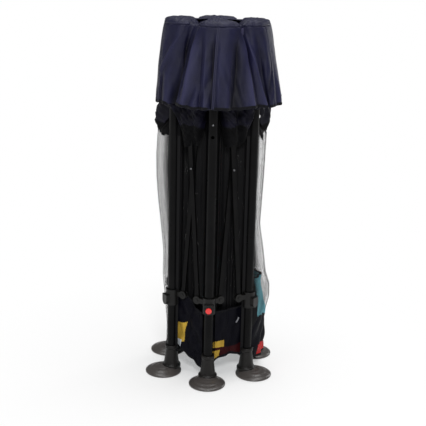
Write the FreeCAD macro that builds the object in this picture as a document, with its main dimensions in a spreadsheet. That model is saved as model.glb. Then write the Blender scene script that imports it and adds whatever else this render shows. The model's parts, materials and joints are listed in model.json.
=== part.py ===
"""Folding six-legged canopy enclosure, modelled folded, standing upright on its six feet.

Frame: millimetres, +Z up, origin on the ground at the centre of the bundle. Leg 1 stands at the front (-Y) and the
legs are numbered counter-clockwise seen from above. Side k joins leg k to the next leg with one scissor pair: the
outer bar hangs from the top of leg k, the inner bar from the top of the next leg, and each ends on the other leg's
slider.
"""

import FreeCAD, Part
import Sketcher
import math
import os

from FreeCAD import Placement, Rotation, Vector

LEGS = 6
TURN = 360 / LEGS
UP = Vector(0, 0, 1)
SPRING_GAP = 0.1  # clearance at each end of the lock spring
HEAD_GAP = 0.05  # clearance under each rivet head

DIMENSIONS = {
    # frame layout
    "leg_circle": 124,
    "pivot_reach": 35,
    "top_pivot": 975,
    "bar_length": 741,
    "fold_swing": 65.5,
    # leg tube
    "tube_radius": 13,
    "tube_wall": 1.5,
    "tube_foot": 24,
    "tube_top": 958,
    "latch_radius": 4.5,
    # foot
    "foot_radius": 51,
    "foot_offset": 25,
    "foot_rim": 5,
    "foot_crown": 17,
    "neck_wide": 22,
    "neck_slim": 16.5,
    "neck_top": 78,
    "neck_collar": 9,
    "socket_play": 0.1,
    # scissor bars and pins
    "bar_half_width": 6,
    "bar_thickness": 6,
    "bar_shift": 4.5,
    "pin_radius": 2.5,
    "pin_play": 0.05,
    "pivot_play": 0.1,
    "head_radius": 4.5,
    "head_height": 1.5,
    # forks that hold the bar ends
    "fork_gap": 7,
    "fork_lug": 3,
    "fork_radius": 11.5,
    "arm_half_height": 7,
    "fork_throat": 8,
    # top bracket and slider
    "bracket_radius": 17,
    "bracket_height": 40,
    "bracket_top": 981,
    "slider_radius": 18,
    "slider_play": 0.6,
    "slider_above": 13,
    "slider_below": 33,
    "shield_reach": 24.5,
    "shield_half_width": 13,
    # push button and its spring
    "button_drop": 18,
    "button_radius": 8.5,
    "button_play": 0.25,
    "button_back": 20.5,
    "button_front": 27.5,
    "pocket_floor": 15.5,
    "spring_hole": 3,
    "spring_radius": 7,
    "spring_sheet": 0.5,
    # canopy corner
    "corner_top": 1000,
    "corner_radius": 52,
    "corner_shell": 3,
    "corner_dome": 12,
    "corner_hem": 62,
    "corner_foot": 780,
    # folded cloth
    "wall_margin": 22,
    "wall_depth": 18,
    "wall_thickness": 10,
    "wall_foot": 60,
    "wall_top": 950,
    "sheet_half_width": 68,
    "sheet_thickness": 10,
    "edge_width": 10,
    "edge_gap": 3,
    "roof_inset": 8,
    "roof_low": 325,
    "roof_high": 965,
    "floor_inset": 20,
    "floor_low": 40,
    "floor_high": 700,
    # zip pull
    "zip_along": 24,
    "zip_depth": 15.5,
    "zip_height": 170,
    "zip_width": 7,
    "zip_length": 24,
    "zip_thickness": 3,
}


class Size:
    """A dimension that knows its value and the expression that binds it to the sheet."""

    def __init__(self, value, text):
        self.value = value
        self.text = text

    def __add__(self, other):
        return Size(self.value + amount(other), f"({self.text} + {wording(other)})")

    def __sub__(self, other):
        return Size(self.value - amount(other), f"({self.text} - {wording(other)})")

    def __mul__(self, other):
        return Size(self.value * amount(other), f"({self.text} * {wording(other)})")

    def __truediv__(self, other):
        return Size(self.value / amount(other), f"({self.text} / {wording(other)})")


def amount(item):
    return item.value if isinstance(item, Size) else item


def wording(item):
    return item.text if isinstance(item, Size) else str(item)


def dim(alias):
    return Size(float(DIMENSIONS[alias]), f"Dimensions.{alias}")


doc = FreeCAD.newDocument("canopy_enclosure")


def make_sheet():
    sheet = doc.addObject("Spreadsheet::Sheet", "Dimensions")
    for row, (alias, value) in enumerate(DIMENSIONS.items(), start=1):
        sheet.set(f"A{row}", alias)
        sheet.set(f"B{row}", str(value))
        sheet.setAlias(f"B{row}", alias)
    doc.recompute()


# ---- layout worked out from the driving dimensions ----

def fold_angle():
    """Angle between a folded bar and the vertical, in radians."""
    span = dim("leg_circle").value - 2 * dim("pivot_reach").value
    return math.asin(span / dim("bar_length").value)


def slider_pivot():
    """Height of the slider pivots when folded."""
    return dim("top_pivot").value - dim("bar_length").value * math.cos(fold_angle())


def latch_height():
    """Height on leg 1 that the push button reaches when the frame is open."""
    open_angle = fold_angle() + math.radians(dim("fold_swing").value)
    open_pivot = dim("top_pivot").value - dim("bar_length").value * math.cos(open_angle)
    return open_pivot - dim("button_drop").value


def leg_frame(leg):
    """Placement on the ground at a leg's axis, with local +X pointing outwards."""
    angle = -90 + TURN * (leg - 1)
    turn = Rotation(UP, angle)
    return Placement(turn.multVec(Vector(dim("leg_circle").value, 0, 0)), turn)


def side_frame(leg):
    """Placement on the ground at a leg's axis, with local +X towards the next leg and +Y inwards."""
    return leg_frame(leg) * Placement(Vector(), Rotation(UP, 180 - TURN))


# ---- helpers for primitives, booleans and sketches ----

def set_size(item, **sizes):
    for name, size in sizes.items():
        item.setExpression(name, wording(size))
    return item


def put(item, x=0, y=0, z=0, turn=None):
    """Binds an object's place to the sheet."""
    item.Placement = Placement(Vector(), turn or Rotation())
    for axis, size in zip("xyz", (x, y, z)):
        item.setExpression(f"Placement.Base.{axis}", wording(size))
    return item


def cylinder(radius, height, **place):
    return put(set_size(doc.addObject("Part::Cylinder", "Round"), Radius=radius, Height=height), **place)


def cone(low_radius, high_radius, height, **place):
    item = doc.addObject("Part::Cone", "Taper")
    return put(set_size(item, Radius1=low_radius, Radius2=high_radius, Height=height), **place)


def box(length, width, height, **place):
    item = doc.addObject("Part::Box", "Block")
    return put(set_size(item, Length=length, Width=width, Height=height), **place)


def fuse(*items):
    item = doc.addObject("Part::MultiFuse", "Joined")
    item.Shapes = list(items)
    return item


def cut(base, *tools):
    item = doc.addObject("Part::Cut", "Trimmed")
    item.Base = base
    item.Tool = tools[0] if len(tools) == 1 else fuse(*tools)
    return item


def group(*items):
    """Separate solids kept together as one sub-part."""
    item = doc.addObject("Part::Compound", "Group")
    item.Links = list(items)
    return item


def rotated(item, angle):
    """A boolean result turned about the leg axis."""
    item.Placement = Placement(Vector(), Rotation(UP, angle)) * item.Placement
    return item


ALONG_X = Rotation(Vector(0, 1, 0), 90)
ALONG_Y = Rotation(Vector(1, 0, 0), -90)

sub_parts = []


def finish(item, label, placement=None):
    """Names a sub-part and gives it its place in the object."""
    item.Label = label
    item.Placement = (placement or Placement()) * item.Placement
    sub_parts.append(item)
    return item


def new_sketch(body, role, name):
    sketch = body.newObject("Sketcher::SketchObject", name)
    plane = next(item for item in body.Origin.OriginFeatures if item.Role == role)
    sketch.AttachmentSupport = [(plane, "")]
    sketch.MapMode = "FlatFace"
    return sketch


def pin_corner(sketch, edge, x, y):
    """Fixes the start of an edge at (x, y) from the sketch's origin."""
    for kind, size, axis_line in (("DistanceX", x, -2), ("DistanceY", y, -1)):
        if amount(size) == 0:
            sketch.addConstraint(Sketcher.Constraint("PointOnObject", edge, 1, axis_line))
        else:
            index = sketch.addConstraint(Sketcher.Constraint(kind, -1, 1, edge, 1, amount(size)))
            sketch.setExpression(f"Constraints[{index}]", wording(size))


def draw_outline(sketch, corners):
    """A closed outline of straight edges through corners given as (x, y) sizes."""
    points = [Vector(amount(x), amount(y), 0) for x, y in corners]
    count = len(points)
    for index in range(count):
        sketch.addGeometry(Part.LineSegment(points[index], points[(index + 1) % count]), False)
    for index in range(count):
        sketch.addConstraint(Sketcher.Constraint("Coincident", index, 2, (index + 1) % count, 1))
    for index, (x, y) in enumerate(corners):
        pin_corner(sketch, index, x, y)


def draw_circle(sketch, radius, y=0):
    index = sketch.addGeometry(Part.Circle(Vector(0, amount(y), 0), UP, amount(radius)), False)
    at = sketch.addConstraint(Sketcher.Constraint("Radius", index, amount(radius)))
    sketch.setExpression(f"Constraints[{at}]", wording(radius))
    sketch.addConstraint(Sketcher.Constraint("PointOnObject", index, 3, -2))
    if amount(y) == 0:
        sketch.addConstraint(Sketcher.Constraint("PointOnObject", index, 3, -1))
    else:
        at = sketch.addConstraint(Sketcher.Constraint("DistanceY", -1, 1, index, 3, amount(y)))
        sketch.setExpression(f"Constraints[{at}]", wording(y))
    return index


def revolve(body, corners, name, kind="PartDesign::Revolution", shift=None):
    """Turns an outline in the local XZ plane about a vertical axis, to add or to cut."""
    sketch = new_sketch(body, "XZ_Plane", name + "_outline")
    draw_outline(sketch, corners)
    if shift is not None:
        sketch.setExpression("AttachmentOffset.Base.x", wording(shift))
    feature = body.newObject(kind, name)
    feature.Profile = sketch
    feature.ReferenceAxis = (sketch, ["V_Axis"])
    feature.Angle = 360
    return feature


# ---- leg ----

def make_leg_tube(leg):
    body = doc.addObject("PartDesign::Body", "LegTube")
    sketch = new_sketch(body, "XY_Plane", "tube_section")
    draw_circle(sketch, dim("tube_radius"))
    draw_circle(sketch, dim("tube_radius") - dim("tube_wall"))
    pad = body.newObject("PartDesign::Pad", "tube")
    pad.Profile = sketch
    pad.setExpression("Length", (dim("tube_top") - dim("tube_foot")).text)
    if leg == 1:
        cut_latch_hole(body)
    lift = Placement(Vector(0, 0, dim("tube_foot").value), Rotation())
    finish(body, f"leg_tube_{leg}", leg_frame(leg) * lift)


def cut_latch_hole(body):
    """A round hole through the outward wall of the front leg, where the button locks the open frame."""
    doc.recompute()
    whole = body.Shape.Volume
    sketch = new_sketch(body, "YZ_Plane", "latch_circle")
    draw_circle(sketch, dim("latch_radius"), Size(latch_height(), str(latch_height())) - dim("tube_foot"))
    pocket = body.newObject("PartDesign::Pocket", "latch_hole")
    pocket.Profile = sketch
    pocket.setExpression("Length", (dim("tube_radius") * 2).text)
    pocket.Reversed = True
    doc.recompute()
    if body.Shape.Volume > whole - 1:
        raise RuntimeError("the latch hole cuts nothing")


def make_foot(leg):
    """A domed disc set outwards of the leg, with a tapered neck that holds the tube."""
    body = doc.addObject("PartDesign::Body", "Foot")
    radius = dim("foot_radius")
    disc = [
        (0, 0),
        (radius - 2, 0),
        (radius, 2),
        (radius, dim("foot_rim")),
        (radius - 4, dim("foot_rim") + 2.5),
        (radius * 0.66, dim("foot_crown") - 4.5),
        (radius * 0.36, dim("foot_crown")),
        (0, dim("foot_crown")),
    ]
    revolve(body, disc, "disc", shift=dim("foot_offset"))
    collar_low = dim("neck_top") - dim("neck_collar")
    neck = [
        (0, 1),
        (dim("neck_wide") + 3, 1),
        (dim("neck_wide") + 3, dim("foot_crown") + 2),
        (dim("neck_wide"), dim("foot_crown") + 4),
        (dim("neck_slim"), collar_low - 8),
        (dim("neck_slim"), collar_low),
        (dim("neck_slim") + 1.5, collar_low + 1),
        (dim("neck_slim") + 1.5, dim("neck_top") - 1.5),
        (dim("neck_slim"), dim("neck_top")),
        (0, dim("neck_top")),
    ]
    revolve(body, neck, "neck")
    bore = dim("tube_radius") + dim("socket_play")
    socket = [
        (0, dim("tube_foot")),
        (bore, dim("tube_foot")),
        (bore, dim("neck_top") + 1),
        (0, dim("neck_top") + 1),
    ]
    revolve(body, socket, "socket", kind="PartDesign::Groove")
    finish(body, f"foot_{leg}", leg_frame(leg))


# ---- forks and pins ----

def fork_blank(side, height):
    """The solid arm of a fork: local +X towards the neighbouring leg, bar centre at y = side * bar_shift."""
    half = dim("fork_gap") / 2 + dim("fork_lug")
    low_y = dim("bar_shift") * side - half
    arm = box(
        dim("pivot_reach") - 10,
        half * 2,
        dim("arm_half_height") * 2,
        x=10,
        y=low_y,
        z=height - dim("arm_half_height"),
    )
    nose = cylinder(dim("fork_radius"), half * 2, x=dim("pivot_reach"), y=low_y, z=height, turn=ALONG_Y)
    return fuse(arm, nose)


def fork_cuts(side, height):
    """The slot for the bar end and the hole for the pin."""
    half = dim("fork_gap") / 2
    slot = box(
        dim("fork_throat") + dim("fork_radius") + 1,
        dim("fork_gap"),
        dim("fork_radius") * 2 + 2,
        x=dim("pivot_reach") - dim("fork_throat"),
        y=dim("bar_shift") * side - half,
        z=height - dim("fork_radius") - 1,
    )
    hole = cylinder(
        dim("pin_radius") + dim("pin_play"),
        dim("fork_gap") + dim("fork_lug") * 2 + 2,
        x=dim("pivot_reach"),
        y=dim("bar_shift") * side - half - dim("fork_lug") - 1,
        z=height,
        turn=ALONG_Y,
    )
    return fuse(slot, hole)


def fork_pin(side, height):
    """A riveted pin with a head on each outer face of the fork."""
    half = dim("fork_gap") / 2 + dim("fork_lug")
    low_y = dim("bar_shift") * side - half
    low_face = low_y - HEAD_GAP
    length = half * 2 + HEAD_GAP * 2
    shank = cylinder(dim("pin_radius"), length, x=dim("pivot_reach"), y=low_face, z=height, turn=ALONG_Y)
    heads = [
        cylinder(dim("head_radius"), dim("head_height"), x=dim("pivot_reach"), y=y, z=height, turn=ALONG_Y)
        for y in (low_face - dim("head_height"), low_face + length)
    ]
    return fuse(shank, *heads)


def both_sides(make, side, height):
    """The same detail on both of a leg's sides."""
    corner = 180 - TURN
    return [rotated(make(side, height), angle) for angle in (corner, -corner)]


def make_top_bracket(leg):
    """The cap on a leg's top, with a fork towards each neighbouring leg."""
    base = dim("bracket_top") - dim("bracket_height")
    height = dim("top_pivot")
    cap = cylinder(dim("bracket_radius"), dim("bracket_height"), z=base)
    blank = fuse(cap, *both_sides(fork_blank, -1, height))
    bore = cylinder(dim("tube_radius") + dim("socket_play"), dim("tube_top") - base, z=base)
    bracket = cut(blank, bore, *both_sides(fork_cuts, -1, height))
    finish(group(bracket, *both_sides(fork_pin, -1, height)), f"top_bracket_{leg}", leg_frame(leg))


# ---- slider with the push button ----

def make_slider(leg):
    """The collar that runs on a leg, with two forks and an outward shield plate."""
    height = Size(slider_pivot(), str(slider_pivot()))
    base = height - dim("slider_below")
    length = dim("slider_above") + dim("slider_below")
    middle = height - dim("button_drop")
    half = dim("shield_half_width")
    collar = cylinder(dim("slider_radius"), length, z=base)
    plate_round = cylinder(half, dim("shield_reach"), z=middle, turn=ALONG_X)
    plate_top = box(dim("shield_reach"), half * 2, half + 3, y=half * -1, z=middle)
    blank = fuse(collar, plate_round, plate_top, *both_sides(fork_blank, 1, height))
    bore = cylinder(dim("tube_radius") + dim("slider_play"), length + half, z=base - half / 2)
    tools = [bore, *both_sides(fork_cuts, 1, height)]
    if leg == 1:
        reach = dim("shield_reach") - dim("pocket_floor") + 1
        radius = dim("button_radius") + dim("button_play")
        tools.append(cylinder(radius, reach, x=dim("pocket_floor"), z=middle, turn=ALONG_X))
    slider = cut(blank, *tools)
    finish(group(slider, *both_sides(fork_pin, 1, height)), f"slider_{leg}", leg_frame(leg))


def make_lock_button():
    """A round button that pushes straight into the front slider."""
    middle = Size(slider_pivot(), str(slider_pivot())) - dim("button_drop")
    step = dim("button_front") - 1.2
    barrel = cylinder(dim("button_radius"), step - dim("button_back"), x=dim("button_back"), z=middle, turn=ALONG_X)
    crown = cone(
        dim("button_radius"),
        dim("button_radius") - 1.6,
        dim("button_front") - step,
        x=step,
        z=middle,
        turn=ALONG_X,
    )
    finish(fuse(barrel, crown), "lock_button", leg_frame(1))


def make_lock_spring():
    """A pair of spring washers, rim to rim, between the button and its pocket's floor."""
    body = doc.addObject("PartDesign::Body", "Spring")
    inner = dim("spring_hole")
    outer = dim("spring_radius")
    sheet = dim("spring_sheet")
    length = dim("button_back") - dim("pocket_floor") - SPRING_GAP * 2
    washers = [
        (inner, 0),
        (outer, length / 2 - sheet / 2),
        (outer, length / 2 + sheet / 2),
        (inner, length),
        (inner, length - sheet),
        (outer - sheet, length / 2),
        (inner, sheet),
    ]
    revolve(body, washers, "washers")
    middle = slider_pivot() - dim("button_drop").value
    start = dim("pocket_floor").value + SPRING_GAP
    finish(body, "lock_spring", leg_frame(1) * Placement(Vector(start, 0, middle), ALONG_X))


# ---- scissor bars ----

def make_bar_body(name):
    """A flat bar standing on its lower pivot, with round ends and three pivot holes."""
    body = doc.addObject("PartDesign::Body", name)
    sketch = new_sketch(body, "XZ_Plane", "bar_outline")
    length = dim("bar_length")
    half = dim("bar_half_width")
    ends = ((0, math.pi, 2 * math.pi), (length.value, 0, math.pi))
    for height, first, last in ends:
        circle = Part.Circle(Vector(0, height, 0), UP, half.value)
        sketch.addGeometry(Part.ArcOfCircle(circle, first, last), False)
    for x, low, high in ((half.value, 0, length.value), (-half.value, length.value, 0)):
        sketch.addGeometry(Part.LineSegment(Vector(x, low, 0), Vector(x, high, 0)), False)
    lower, upper, right, left = range(4)
    for first, second in ((lower, right), (right, upper), (upper, left), (left, lower)):
        sketch.addConstraint(Sketcher.Constraint("Tangent", first, 2, second, 1))
    sketch.addConstraint(Sketcher.Constraint("Coincident", lower, 3, -1, 1))
    sketch.addConstraint(Sketcher.Constraint("PointOnObject", upper, 3, -2))
    at = sketch.addConstraint(Sketcher.Constraint("DistanceY", -1, 1, upper, 3, length.value))
    sketch.setExpression(f"Constraints[{at}]", length.text)
    at = sketch.addConstraint(Sketcher.Constraint("Radius", lower, half.value))
    sketch.setExpression(f"Constraints[{at}]", half.text)
    for height in (0, length / 2, length):
        draw_circle(sketch, dim("pin_radius") + dim("pivot_play"), height)
    pad = body.newObject("PartDesign::Pad", "bar")
    pad.Profile = sketch
    pad.setExpression("Length", dim("bar_thickness").text)
    pad.Midplane = True
    return body


def bar_place(leg, inner):
    """Where a bar's lower pivot stands in the folded frame, and how it leans."""
    reach = dim("pivot_reach").value
    span = dim("leg_circle").value
    foot = reach if inner else span - reach
    lean = fold_angle() if inner else -fold_angle()
    shift = dim("bar_shift").value * (1 if inner else -1)
    turn = Rotation(Vector(0, 1, 0), math.degrees(lean))
    return side_frame(leg) * Placement(Vector(foot, shift, slider_pivot()), turn)


def crossing_rivet():
    """The rivet at mid-length that joins an outer bar to the inner bar behind it."""
    half = dim("bar_thickness") / 2
    outer_face = half * -1 - HEAD_GAP
    inner_face = dim("bar_shift") * 2 + half + HEAD_GAP
    middle = dim("bar_length") / 2
    shank = cylinder(dim("pin_radius"), inner_face - outer_face, y=outer_face, z=middle, turn=ALONG_Y)
    gap = dim("bar_shift") * 2 - dim("bar_thickness")
    washer = cylinder(dim("head_radius"), gap - 0.2, y=half + 0.1, z=middle, turn=ALONG_Y)
    heads = [
        cylinder(dim("head_radius"), dim("head_height"), y=y, z=middle, turn=ALONG_Y)
        for y in (outer_face - dim("head_height"), inner_face)
    ]
    return fuse(shank, washer, *heads)


def make_bars(leg):
    outer = group(make_bar_body("OuterBar"), crossing_rivet())
    finish(outer, f"outer_bar_{leg}", bar_place(leg, inner=False))
    finish(make_bar_body("InnerBar"), f"inner_bar_{leg}", bar_place(leg, inner=True))


# ---- folded cloth ----

def make_canopy_corner(leg):
    """The padded canopy pocket over a leg's top: a dome, and a flared skirt on the outward half only."""
    body = doc.addObject("PartDesign::Body", "CanopyCorner")
    top = dim("corner_top")
    radius = dim("corner_radius")
    shell = dim("corner_shell")
    dome = [
        (0, top - shell),
        (radius * 0.75, top - shell * 2),
        (radius - shell, top - dim("corner_dome")),
        (radius, top - dim("corner_dome")),
        (radius * 0.9, top - shell * 2),
        (radius * 0.6, top - shell / 2),
        (0, top),
    ]
    revolve(body, dome, "dome")
    skirt = [
        (radius - shell, top - dim("corner_dome")),
        (radius, top - dim("corner_dome")),
        (dim("corner_hem"), dim("corner_foot")),
        (dim("corner_hem") - shell, dim("corner_foot")),
    ]
    half = revolve(body, skirt, "skirt")
    half.Angle = 180
    half.Midplane = True
    finish(body, f"canopy_corner_{leg}", leg_frame(leg))


def make_wall_panel(leg):
    """A side's gathered mesh wall, hanging just inside its bars."""
    margin = dim("wall_margin")
    panel = box(
        dim("leg_circle") - margin * 2,
        dim("wall_thickness"),
        dim("wall_top") - dim("wall_foot"),
        x=margin,
        y=dim("wall_depth"),
        z=dim("wall_foot"),
    )
    finish(group(panel), f"wall_panel_{leg}", side_frame(leg))


def make_sheet_half(name, side, inset, low, high):
    """Half of the folded roof or floor cloth, standing beside the middle plane, with its rear hem apart."""
    half = dim("sheet_half_width")
    thickness = dim("sheet_thickness")
    x = dim(inset) if side > 0 else dim(inset) * -1 - thickness
    width = half * 2 - dim("edge_width") - dim("edge_gap")
    height = dim(high) - dim(low)
    finish(box(thickness, width, height, x=x, y=half * -1, z=dim(low)), name)
    edge = box(thickness, dim("edge_width"), height, x=x, y=half - dim("edge_width"), z=dim(low))
    finish(edge, name + "_edge")


def make_zip_pull():
    """The slider and tab of the door's zip, on the wall beside the front leg."""
    width = dim("zip_width")
    thick = dim("zip_thickness")
    low_x = dim("zip_along") - width / 2
    low_y = dim("zip_depth") - thick / 2
    shoe = box(width, thick, width * 1.4, x=low_x, y=low_y, z=dim("zip_height"))
    tab = box(
        width * 0.6,
        thick / 2,
        dim("zip_length"),
        x=dim("zip_along") - width * 0.3,
        y=low_y,
        z=dim("zip_height") - dim("zip_length") + 2,
    )
    finish(fuse(shoe, tab), "door_zip_pull", side_frame(1))


# ---- the whole object ----

def build():
    make_sheet()
    for leg in range(1, LEGS + 1):
        make_leg_tube(leg)
        make_foot(leg)
        make_top_bracket(leg)
        make_slider(leg)
        make_bars(leg)
        make_canopy_corner(leg)
        make_wall_panel(leg)
    make_lock_button()
    make_lock_spring()
    make_zip_pull()
    for side, word in ((1, "right"), (-1, "left")):
        make_sheet_half(f"roof_{word}", side, "roof_inset", "roof_low", "roof_high")
        make_sheet_half(f"floor_{word}", side, "floor_inset", "floor_low", "floor_high")
    doc.recompute()


def check():
    """Stops if any object failed to recompute or any sub-part has no sound shape."""
    failed = [item.Name for item in doc.Objects if {"Invalid", "Error"} & set(item.State)]
    broken = [item.Label for item in sub_parts if item.Shape.isNull() or not item.Shape.isValid()]
    if failed or broken:
        raise RuntimeError(f"failed objects {failed}, broken sub-parts {broken}")


def write():
    os.makedirs("parts", exist_ok=True)
    for item in sub_parts:
        item.Shape.exportStep(f"parts/{item.Label}.step")


build()
check()
write()
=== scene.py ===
"""Looks of the folding canopy enclosure: its cloth, netting, metal and plastic."""

import json
import math

import bpy
import numpy as np
from mathutils import Matrix, Vector


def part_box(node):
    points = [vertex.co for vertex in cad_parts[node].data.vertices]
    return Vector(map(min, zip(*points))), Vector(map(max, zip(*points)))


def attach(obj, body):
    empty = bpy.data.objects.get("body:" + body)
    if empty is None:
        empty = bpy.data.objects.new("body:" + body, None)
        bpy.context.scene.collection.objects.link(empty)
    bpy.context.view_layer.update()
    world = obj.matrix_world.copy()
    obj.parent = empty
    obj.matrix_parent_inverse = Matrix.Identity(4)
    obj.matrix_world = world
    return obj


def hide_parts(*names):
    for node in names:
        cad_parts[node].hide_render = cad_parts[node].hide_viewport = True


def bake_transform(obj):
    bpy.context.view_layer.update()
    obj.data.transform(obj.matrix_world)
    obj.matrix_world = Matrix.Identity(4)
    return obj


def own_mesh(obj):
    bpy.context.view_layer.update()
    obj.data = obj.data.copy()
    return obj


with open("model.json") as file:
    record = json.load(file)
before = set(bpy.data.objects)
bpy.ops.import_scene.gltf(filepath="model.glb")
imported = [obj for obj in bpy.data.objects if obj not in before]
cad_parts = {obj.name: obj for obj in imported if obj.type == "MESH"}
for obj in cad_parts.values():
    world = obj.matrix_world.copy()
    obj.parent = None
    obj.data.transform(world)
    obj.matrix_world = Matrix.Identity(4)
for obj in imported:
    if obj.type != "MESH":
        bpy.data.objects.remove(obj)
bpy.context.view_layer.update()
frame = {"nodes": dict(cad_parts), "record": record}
BEHAVIOUR = frame["record"]["behaviour"]

# ---- layout, worked out from the frame ----

LEGS = range(1, 7)
UP = Vector((0, 0, 1))


def next_leg(leg):
    return leg % 6 + 1


def middle(node):
    low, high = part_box(node)
    return (Vector(low) + Vector(high)) / 2


def flat(vector):
    return Vector((vector.x, vector.y, 0))


def joint(name):
    return next(item for item in BEHAVIOUR["joints"] if item["name"] == name)


def ratio(name):
    return next(item["ratio"] for item in BEHAVIOUR["couplings"] if item["joint"] == name)


AXIS = {leg: flat(middle(f"leg_tube_{leg}")) for leg in LEGS}
OUT = {leg: AXIS[leg].normalized() for leg in LEGS}
ALONG = {leg: (AXIS[next_leg(leg)] - AXIS[leg]).normalized() for leg in LEGS}
NORMAL = {leg: ALONG[leg].cross(UP) for leg in LEGS}
SPACING = (AXIS[2] - AXIS[1]).length
OPEN_ANGLE = math.radians(joint("frame_open")["range_deg"][1])
GROWTH = ratio("wall_1_spread") * OPEN_ANGLE
OPEN_RADIUS = SPACING + GROWTH
HALF_CORNER = math.radians(30)
TUBE_RADIUS = (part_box("leg_tube_1")[1][0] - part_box("leg_tube_1")[0][0]) / 2
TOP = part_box("canopy_corner_1")[1][2]
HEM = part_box("canopy_corner_1")[0][2]
WALL_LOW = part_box("wall_panel_1")[0][2]
WALL_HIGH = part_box("wall_panel_1")[1][2]
ROOF_HINGE = joint("roof_right_spread")["pos_m"][2]
FLOOR_HINGE = joint("floor_right_spread")["pos_m"][2]


def smooth(x):
    x = np.clip(x, 0, 1)
    return x * x * (3 - 2 * x)


def spread(s, length=SPACING, growth=GROWTH):
    """Where a point of folded cloth lies along its side once the frame is open."""
    return s + growth * smooth(s / length)


def gather(u, length=SPACING, growth=GROWTH):
    """The folded place of a point of open cloth: the inverse of spread."""
    folded = np.linspace(-length, 2 * length, 3001)
    return np.interp(u, spread(folded, length, growth), folded)


def side_points(leg, s, n, z):
    """Points beside the line from a leg to the next one: s along it, n outwards of it, z above the ground."""
    points = np.array(AXIS[leg])
    for amount, way in ((s, ALONG[leg]), (n, NORMAL[leg]), (z, UP)):
        points = points + amount[..., None] * np.array(way)
    return points


def leg_points(leg, out, across, z):
    """Points round a leg: out from the bundle's middle, across that to the leg's side, z above the ground."""
    turn = math.atan2(OUT[leg].y, OUT[leg].x)
    x = AXIS[leg].x + out * math.cos(turn) - across * math.sin(turn)
    y = AXIS[leg].y + out * math.sin(turn) + across * math.cos(turn)
    return np.stack([x, y, z], axis=-1)


def cell_centres(values):
    """The value at the middle of each face of a grid, from its corners."""
    return (values[:-1, :-1] + values[1:, 1:]) / 2


def ripples(u, v, seed, length, drift=0.3, count=6):
    """Irregular smooth waves between about -1 and 1, across u and wandering along v, set by the seed."""
    rng = np.random.default_rng(seed)
    total = np.zeros(np.broadcast(u, v).shape)
    for _ in range(count):
        wave = length * rng.uniform(0.6, 1.9)
        tilt = rng.uniform(-drift, drift)
        total += np.sin(2 * math.pi * (u + tilt * v) / wave + rng.uniform(0, 2 * math.pi))
    return total / math.sqrt(count)


def through(points, a):
    """A smooth curve through control points, for a from 0 to 1, with the points evenly spaced in a."""
    points = np.asarray(points, float)
    last = len(points) - 1
    place = np.clip(a, 0, 1) * last
    index = np.minimum(place.astype(int), last - 1)
    t = (place - index)[..., None]
    p1 = points[index]
    p2 = points[index + 1]
    p0 = np.where((index > 0)[..., None], points[np.maximum(index - 1, 0)], 2 * p1 - p2)
    p3 = np.where((index + 2 <= last)[..., None], points[np.minimum(index + 2, last)], 2 * p2 - p1)
    bend = (2 * p0 - 5 * p1 + 4 * p2 - p3) * t * t + (3 * p1 - p0 - 3 * p2 + p3) * t * t * t
    return 0.5 * (2 * p1 + (p2 - p0) * t + bend)


# First seed of each kind of wave. The leg's number is added where there is one per leg.
SEED = {
    "cap rumple": 40,
    "cap pucker": 70,
    "valance fold": 100,
    "valance ripple": 200,
    "valance sag": 300,
    "wall pleat": 500,
    "wall wave": 600,
    "wall top edge": 650,
    "band hem": 660,
    "band fold": 670,
    "band ripple": 680,
    "wall doubling": 690,
    "band change": 695,
    "rim slump": 700,
    "roof": 800,
    "floor": 820,
}


# ---- mesh building ----

LATHE_UV_RADIUS = 0.05


def add_object(name, data):
    """A new object in the scene."""
    item = bpy.data.objects.new(name, data)
    bpy.context.scene.collection.objects.link(item)
    return item


def grid(columns, rows):
    """Two arrays of shares from 0 to 1: across the columns, and along the rows."""
    return np.meshgrid(np.linspace(0, 1, columns + 1), np.linspace(0, 1, rows + 1))


def sheet(name, points, uv, material, closed=False, **layers):
    """A smooth surface from a grid of points, with UV in metres.

    Closed joins the last column to the first. Layers are per-point values that the material reads by name.
    """
    rows, columns = points.shape[:2]
    index = np.arange(rows * columns).reshape(rows, columns)
    right = np.roll(index, -1, axis=1) if closed else index[:, 1:]
    left = index if closed else index[:, :-1]
    faces = np.stack([left[:-1], right[:-1], right[1:], left[1:]], axis=-1).reshape(-1, 4)
    mesh = bpy.data.meshes.new(name)
    mesh.from_pydata(points.reshape(-1, 3).tolist(), [], faces.tolist())
    layer = mesh.uv_layers.new(name="UVMap")
    layer.data.foreach_set("uv", uv.reshape(-1, 2)[faces.ravel()].astype(np.float32).ravel())
    for layer_name, values in layers.items():
        attribute = mesh.attributes.new(layer_name, "FLOAT", "POINT")
        attribute.data.foreach_set("value", values.astype(np.float32).ravel())
    mesh.shade_smooth()
    mesh.materials.append(material)
    return add_object(name, mesh)


def lathe(name, outline, material, centre, segments):
    """A turned piece: outline gives (radius, height) from the axis outwards."""
    outline = np.asarray(outline, float)
    angle = np.linspace(0, 2 * math.pi, segments, endpoint=False)
    radius, height = outline[:, :1], outline[:, 1:]
    x = centre.x + radius * np.cos(angle)
    y = centre.y + radius * np.sin(angle)
    points = np.stack(np.broadcast_arrays(x, y, height), axis=-1)
    along = np.concatenate([[0], np.cumsum(np.linalg.norm(np.diff(outline, axis=0), axis=1))])
    uv = np.stack(np.broadcast_arrays(angle * LATHE_UV_RADIUS, along[:, None]), axis=-1)
    return sheet(name, points, uv, material, closed=True)


def cord(name, points, radius, material):
    """A round cord along a line of points."""
    curve = bpy.data.curves.new(name, "CURVE")
    curve.dimensions = "3D"
    curve.bevel_depth = radius
    curve.bevel_resolution = 3
    spline = curve.splines.new("POLY")
    spline.points.add(len(points) - 1)
    for place, point in zip(spline.points, points):
        place.co = (*point, 1)
    curve.materials.append(material)
    line = add_object(name, curve)
    bpy.context.view_layer.update()
    mesh = bpy.data.meshes.new_from_object(line)
    bpy.data.objects.remove(line)
    mesh.shade_smooth()
    return add_object(name, mesh)


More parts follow.
